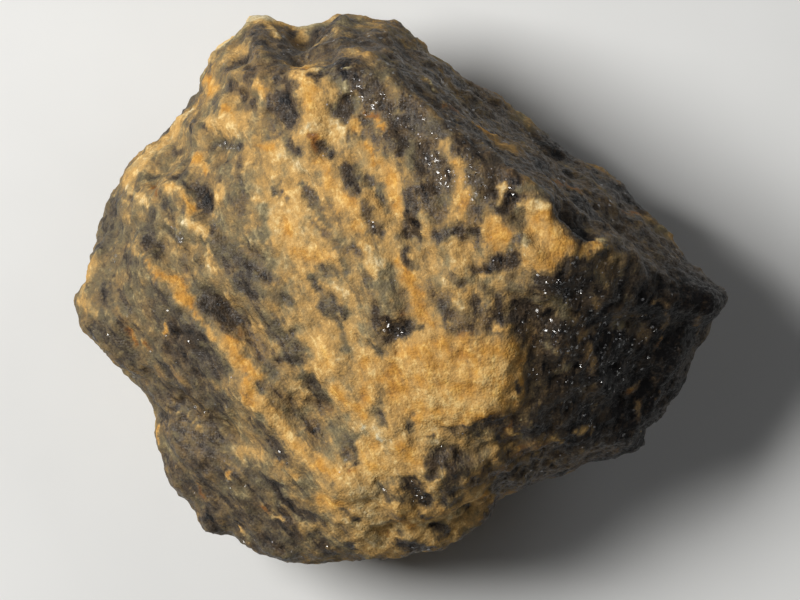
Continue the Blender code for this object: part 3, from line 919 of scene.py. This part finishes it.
class Nodes:
    """Adds nodes to a material, with their inputs linked or set by name or number."""

    def __init__(self, material):
        material.use_nodes = True
        self.tree = material.node_tree

    def add(self, kind, inputs=None, **settings):
        node = self.tree.nodes.new(kind)
        for name, value in settings.items():
            setattr(node, name, value)
        for name, value in (inputs or {}).items():
            if isinstance(value, bpy.types.NodeSocket):
                self.tree.links.new(value, node.inputs[name])
            else:
                node.inputs[name].default_value = value
        return node

    def maths(self, operation, first, second=0.0, third=0.0):
        inputs = {0: first, 1: second, 2: third}
        return self.add("ShaderNodeMath", inputs, operation=operation).outputs[0]

    def vector(self, operation, first, second=None, scale=None):
        inputs = {0: first}
        if second is not None:
            inputs[1] = second
        if scale is not None:
            inputs["Scale"] = scale
        node = self.add("ShaderNodeVectorMath", inputs, operation=operation)
        return node.outputs["Value" if operation == "LENGTH" else "Vector"]

    def between(self, value, low, high):
        """0 where the value is under low, 1 where it is over high."""
        inputs = {"Value": value, "From Min": low, "From Max": high}
        node = self.add("ShaderNodeMapRange", inputs, interpolation_type="SMOOTHSTEP")
        return node.outputs["Result"]

    def mix(self, share, first, second):
        """The first colour where share is 0, and the second where it is 1."""
        node = self.add("ShaderNodeMix", data_type="RGBA")
        for socket, value in zip((node.inputs[0], node.inputs[6], node.inputs[7]),
                                 (share, first, second)):
            if isinstance(value, bpy.types.NodeSocket):
                self.tree.links.new(value, socket)
            else:
                socket.default_value = value
        return node.outputs[2]

    def ramp(self, value, colours):
        """The colours one after another, as the value goes from 0 to 1."""
        node = self.add("ShaderNodeValToRGB", {"Fac": value})
        stops = node.color_ramp.elements
        ready_made = len(stops)
        for index, colour in enumerate(colours):
            place = index / (len(colours) - 1)
            stop = stops[index] if index < ready_made else stops.new(place)
            stop.position = place
            stop.color = colour
        return node.outputs["Color"]

    def field(self, name):
        """One of the mesh's fields."""
        return self.add("ShaderNodeAttribute", attribute_name=name).outputs["Fac"]

    def cells(self, place, size):
        """Cells of about this many millimetres, each with its own random colour."""
        inputs = {"Vector": place, "Scale": 1 / (size * MM)}
        return self.add("ShaderNodeTexVoronoi", inputs)

    def noise(self, place, size, detail, roughness):
        """Noise from 0 to 1 whose waves are this many millimetres."""
        inputs = {"Vector": place, "Scale": 1 / (size * MM), "Detail": detail,
                  "Roughness": roughness}
        return self.add("ShaderNodeTexNoise", inputs).outputs["Fac"]


def shifted(nodes, field, noises, shares):
    """A field with noises on it, each of which moves it up or down by half of its share."""
    for name, share in shares.items():
        swing = nodes.maths("MULTIPLY_ADD", noises[name], share, -share / 2)
        field = nodes.maths("ADD", field, swing)
    return field


def streak_place(nodes, place):
    """A place in the same way as along_streaks gives it, but in metres."""
    source = (
        (STREAK_SOURCE[0] - MIDDLE_PIXEL[0]) * MM_PER_PIXEL * MM,
        (MIDDLE_PIXEL[1] - STREAK_SOURCE[1]) * MM_PER_PIXEL * MM,
        0.0,
    )
    off = nodes.vector("SUBTRACT", place, source)
    x, y, z = nodes.add("ShaderNodeSeparateXYZ", {"Vector": off}).outputs
    flat = nodes.add("ShaderNodeCombineXYZ", {"X": x, "Y": y}).outputs[0]
    far = nodes.vector("LENGTH", flat)
    along = nodes.maths("DIVIDE", far, STREAK_LENGTH)
    across = nodes.maths("MULTIPLY", nodes.maths("ARCTAN2", x, y), STREAK_REACH * MM)
    return nodes.add("ShaderNodeCombineXYZ", {"X": along, "Y": across, "Z": z}).outputs[0]


def mineral_noises(nodes, place):
    """The material's noises by their names."""
    streaky = streak_place(nodes, place)
    noises = {name: nodes.noise(streaky, *kind) for name, kind in STREAKY_NOISES.items()}
    for name, kind in EVEN_NOISES.items():
        noises[name] = nodes.noise(place, *kind)
    return noises


def mineral_shade(nodes, light, noises):
    """How light each grain is, from black mineral (0) to pale earth (1)."""
    shade = shifted(nodes, light, noises, SHADE_SHARES)
    # Dark grains lie along the streaks outside the ochre, and paler ones between them.
    dark_grains = nodes.between(noises["dark_grains"], *DARK_GRAIN_EDGE)
    outside = nodes.maths("MULTIPLY_ADD", nodes.between(light, *OCHRE_EDGE), -OCHRE_COVER, 1.0)
    dark_grains = nodes.maths("MULTIPLY", dark_grains, outside)
    pale_grains = nodes.between(noises["pale_grains"], *PALE_GRAIN_EDGE)
    shade = nodes.maths("MULTIPLY_ADD", dark_grains, DARK_GRAIN_SHADE, shade)
    shade = nodes.maths("MULTIPLY_ADD", pale_grains, PALE_GRAIN_SHADE, shade)
    # Faint thin lines run along the streaks in some of the lighter areas.
    off_middle = nodes.maths("SUBTRACT", noises["lines"], NOISE_MIDDLE)
    line = nodes.between(nodes.maths("ABSOLUTE", off_middle), *LINE_EDGE)
    line = nodes.maths("MULTIPLY", line, nodes.between(light, *LINE_LIGHT))
    line = nodes.maths("MULTIPLY", line, nodes.between(noises["blots"], *LINE_BLOTS))
    return nodes.maths("MULTIPLY_ADD", line, LINE_SHADE, shade)


def mineral_colour(nodes, shade, tint):
    """The colour of each grain, from its shade and its tint."""
    grey = nodes.ramp(shade, GREYS)
    gold = nodes.ramp(shade, GOLDS)
    orange = nodes.ramp(shade, ORANGES)
    colour = nodes.mix(nodes.between(tint, GREY_HUE, GOLD_HUE), grey, gold)
    return nodes.mix(nodes.between(tint, GOLD_HUE, ORANGE_HUE), colour, orange)


def painted_glint_specks(nodes, place, clustered):
    """Painted glints: bright specks in the colour, from 0 to 1, more of them in the clusters."""
    specks = nodes.cells(place, PAINTED_GLINT_SIZE)
    chance = nodes.add("ShaderNodeSeparateColor", {"Color": specks.outputs["Color"]})
    rarity = nodes.maths("MULTIPLY_ADD", clustered, -PAINTED_GLINT_CHANCE, 1.0)
    chosen = nodes.maths("GREATER_THAN", chance.outputs["Red"], rarity)
    small = nodes.between(specks.outputs["Distance"], *PAINTED_GLINT_EDGE)
    bright = nodes.maths("MULTIPLY", small, chosen)
    return nodes.maths("MULTIPLY", bright, chance.outputs["Green"])


def turned_faces(nodes, faces, flashing, bare):
    """The surface's direction, with each bare crystal face turned its own way."""
    turned = nodes.vector("SUBTRACT", faces.outputs["Color"], MIDDLE_COLOUR)
    bare_tilt = nodes.maths("MULTIPLY", bare, BARE_TILT)
    tilt = nodes.maths("MULTIPLY_ADD", flashing, FLASH_TILT, bare_tilt)
    turned = nodes.vector("SCALE", turned, scale=tilt)
    facing = nodes.add("ShaderNodeNewGeometry").outputs["Normal"]
    return nodes.vector("NORMALIZE", nodes.vector("ADD", facing, turned))


def fine_bump(nodes, noises, faces, facing):
    """The surface's direction with grains, dust and the edges of crystal faces on it."""
    dust = nodes.maths("MULTIPLY", noises["dust"], DUST_BUMP)
    height = nodes.maths("MULTIPLY_ADD", noises["grain"], GRAIN_BUMP, dust)
    height = nodes.maths("MULTIPLY_ADD", faces.outputs["Distance"], FACE_BUMP, height)
    inputs = {"Height": height, "Strength": BUMP_STRENGTH, "Distance": BUMP_HEIGHT * MM,
              "Normal": facing}
    return nodes.add("ShaderNodeBump", inputs).outputs["Normal"]


def stone_material():
    """Dark glinting mineral with earthy ochre in it, each grain a little different."""
    material = bpy.data.materials.new("rough_tanteuxenite")
    nodes = Nodes(material)
    shader = nodes.tree.nodes["Principled BSDF"]
    place = nodes.add("ShaderNodeTexCoord").outputs["Object"]
    faces = nodes.cells(place, FACE_SIZE)
    chance = nodes.add("ShaderNodeSeparateColor", {"Color": faces.outputs["Color"]})
    noises = mineral_noises(nodes, place)
    noises["faces"] = chance.outputs["Red"]

    shade = mineral_shade(nodes, nodes.field("light"), noises)
    tint = shifted(nodes, nodes.field("hue"), noises, TINT_SHARES)
    glints = nodes.field("glints")
    clustered = nodes.maths("MULTIPLY", glints, glints)
    # Painted glints: bright specks mixed into the colour, thickest where the glints field is.
    bright = painted_glint_specks(nodes, place, clustered)
    colour = nodes.mix(bright, mineral_colour(nodes, shade, tint), PAINTED_GLINT_COLOUR)

    # A few bare crystal faces are smooth and turned their own way, so that they flash.
    earthy = nodes.between(shade, *EARTH_EDGE)
    bare = nodes.maths("SUBTRACT", 1.0, earthy)
    rarity = nodes.maths("MULTIPLY_ADD", clustered, -FLASH_CHANCE, 1.0)
    flashing = nodes.maths("GREATER_THAN", chance.outputs["Green"], rarity)
    flashing = nodes.maths("MULTIPLY", flashing, bare)
    dull = nodes.maths("MULTIPLY_ADD", chance.outputs["Blue"], CHANCE_ROUGHNESS, FACE_ROUGHNESS)
    dull = nodes.maths("MULTIPLY_ADD", earthy, EARTH_ROUGHNESS, dull)
    roughness = nodes.maths("MULTIPLY_ADD", flashing, -FLASH_SMOOTHNESS, dull)
    gloss = nodes.maths("MULTIPLY_ADD", bare, BARE_GLOSS, EARTH_GLOSS)
    gloss = nodes.maths("MULTIPLY_ADD", flashing, FLASH_GLOSS, gloss)
    facing = turned_faces(nodes, faces, flashing, bare)

    shader.inputs["IOR"].default_value = MINERAL_IOR
    # The gloss of bare mineral is the one that is left where an export drops the link.
    shader.inputs["Specular IOR Level"].default_value = EARTH_GLOSS + BARE_GLOSS
    nodes.tree.links.new(gloss, shader.inputs["Specular IOR Level"])
    nodes.tree.links.new(colour, shader.inputs["Base Color"])
    nodes.tree.links.new(roughness, shader.inputs["Roughness"])
    nodes.tree.links.new(fine_bump(nodes, noises, faces, facing), shader.inputs["Normal"])
    return material


def build_stone():
    """The stone as it is seen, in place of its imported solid."""
    stone = fine_stone()
    fields = mineral_fields(stone.data)
    roughen(stone.data, fields)
    stone.data.transform(Matrix.Scale(MM, 4))
    for name, values in fields.items():
        attribute = stone.data.attributes.new(name, "FLOAT", "POINT")
        attribute.data.foreach_set("value", values.astype(np.float32))
    stone.data.materials.clear()
    stone.data.materials.append(stone_material())
    stone.data.shade_smooth()
    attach(stone, "root")
    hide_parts(NODE)


# The floor, the light and the camera.

# The floor's width, its two tones, the size, detail and roughness of its faint clouds, and how
# rough the floor itself is.
FLOOR_WIDTH = 400
FLOOR_TONES = (linear(221, 222, 222), linear(227, 228, 228))
FLOOR_CLOUDS = (3.0, 2.0, 0.6)
FLOOR_ROUGHNESS = 0.8

# Each lamp: the direction in which it stands, how far off it is, how wide, its power in watts, and
# its colour.
LAMPS = {
    "key_left": ((-0.97, 0.30, 1.14), 120, 50, 0.178, (1.0, 0.985, 0.955)),
    "fill_right": ((0.9, 0.75, 0.9), 150, 60, 0.022, (0.97, 0.98, 1.0)),
}
ROOM_COLOUR = (1.0, 0.99, 0.97, 1.0)
ROOM_STRENGTH = 0.04

# The camera's lens and sensor, the level of the stone that the photograph's scale is taken at, and
# from how near to how far the camera sees.
LENS = 400.0
SENSOR = 36.0
SCALE_LEVEL = 4.0
SEEN_FROM = 10
SEEN_TO = 1000


def floor_material():
    """Pale matt board with a faint unevenness."""
    material = bpy.data.materials.new("pale_board")
    nodes = Nodes(material)
    shader = nodes.tree.nodes["Principled BSDF"]
    place = nodes.add("ShaderNodeTexCoord").outputs["Object"]
    cloud = nodes.noise(place, *FLOOR_CLOUDS)
    nodes.tree.links.new(nodes.mix(cloud, *FLOOR_TONES), shader.inputs["Base Color"])
    shader.inputs["Roughness"].default_value = FLOOR_ROUGHNESS
    return material


def build_floor():
    bpy.ops.mesh.primitive_plane_add(size=FLOOR_WIDTH * MM)
    floor = bpy.context.object
    floor.name = "floor"
    floor.data.materials.append(floor_material())


def area_light(name, towards, distance, size, power, colour):
    """A soft square lamp, this far from the stone in the direction given, aimed at it."""
    lamp = bpy.data.lights.new(name, "AREA")
    lamp.size = size * MM
    lamp.energy = power
    lamp.color = colour
    holder = bpy.data.objects.new(name, lamp)
    direction = Vector(towards).normalized()
    holder.location = direction * distance * MM
    holder.rotation_euler = direction.to_track_quat("Z", "Y").to_euler()
    bpy.context.scene.collection.objects.link(holder)


def build_light():
    for name, lamp in LAMPS.items():
        area_light(name, *lamp)
    world = bpy.data.worlds.new("soft_room")
    world.use_nodes = True
    background = world.node_tree.nodes["Background"]
    background.inputs["Color"].default_value = ROOM_COLOUR
    background.inputs["Strength"].default_value = ROOM_STRENGTH
    bpy.context.scene.world = world
    bpy.context.scene.view_settings.view_transform = "Standard"


def build_camera():
    """Looks straight down, with a frame as wide as the photograph's at the scale's level."""
    camera = bpy.data.cameras.new("camera")
    camera.lens = LENS
    camera.sensor_width = SENSOR
    holder = bpy.data.objects.new("camera", camera)
    frame_width = PHOTO_SIZE[0] * MM_PER_PIXEL
    distance = frame_width * LENS / SENSOR
    x = ((PHOTO_SIZE[0] - 1) / 2 - MIDDLE_PIXEL[0]) * MM_PER_PIXEL
    y = (MIDDLE_PIXEL[1] - (PHOTO_SIZE[1] - 1) / 2) * MM_PER_PIXEL
    holder.location = Vector((x, y, SCALE_LEVEL + distance)) * MM
    camera.clip_start = SEEN_FROM * MM
    camera.clip_end = SEEN_TO * MM
    bpy.context.scene.collection.objects.link(holder)
    bpy.context.scene.camera = holder


build_camera()
build_light()
build_floor()
build_stone()
